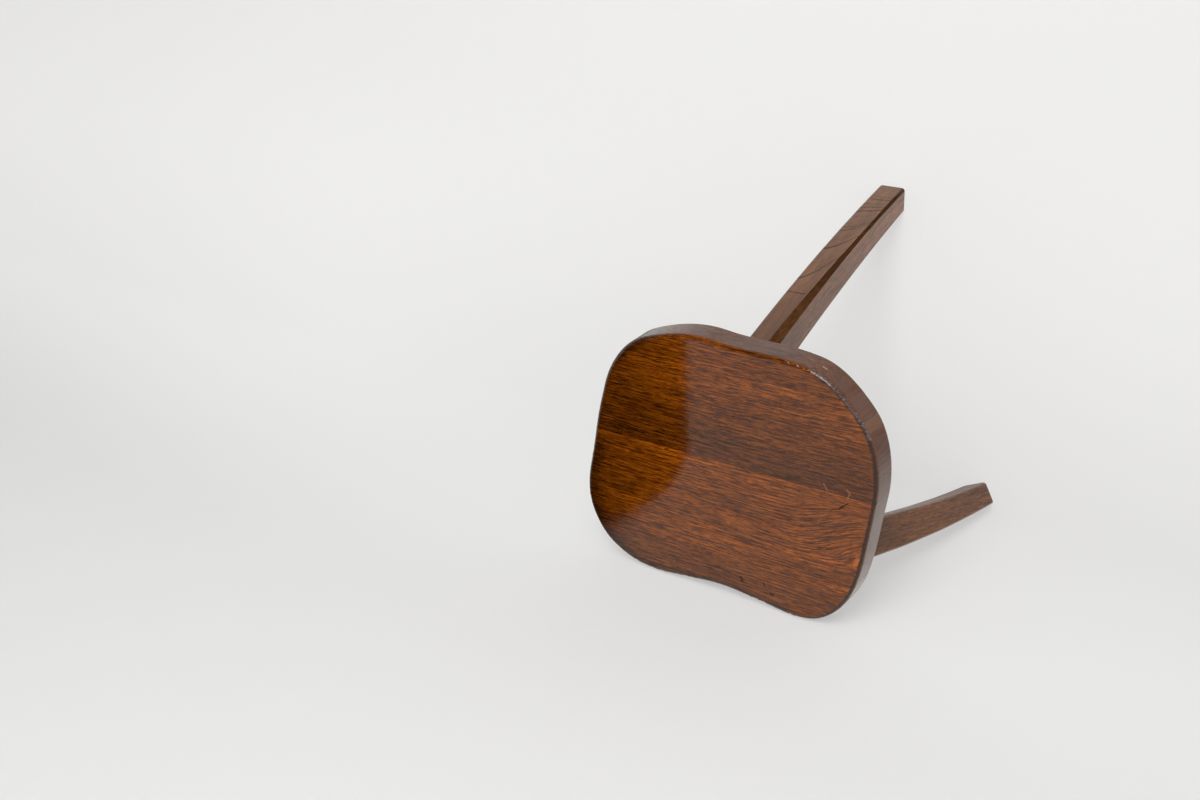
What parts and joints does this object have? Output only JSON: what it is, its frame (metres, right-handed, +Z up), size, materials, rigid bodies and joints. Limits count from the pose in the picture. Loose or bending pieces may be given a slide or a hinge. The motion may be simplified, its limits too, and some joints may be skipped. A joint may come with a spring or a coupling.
{
  "type": "tripod stool",
  "caption": "Tripod stool: a thick freeform seat glued up from oak boards, on splayed and curved plank legs with blind wedged tenons.",
  "frame": {"origin": "on the floor, under the middle of the stool's bounding box", "axes": "+Z up, out of the seat; X along the seat's grain; the single leg stands at -Y and the pair of legs at +Y"},
  "size_m": [0.4098, 0.4552, 0.422],
  "materials": {
    "oak_seat": "stained dark reddish brown, glossy lacquer",
    "oak_leg": "stained dark brown, satin lacquer",
    "bare_wood": "unfinished"
  },
  "bodies": {
    "root": {"seat_strip_front": "oak_seat", "seat_board_front": "oak_seat", "seat_board_back": "oak_seat", "seat_strip_back": "oak_seat", "leg_front": "oak_leg", "leg_back_left": "oak_leg", "leg_back_right": "oak_leg", "wedge_front": "bare_wood", "wedge_back_left": "bare_wood", "wedge_back_right": "bare_wood", "seat_dowels": "bare_wood"}
  },
  "joints": []
}
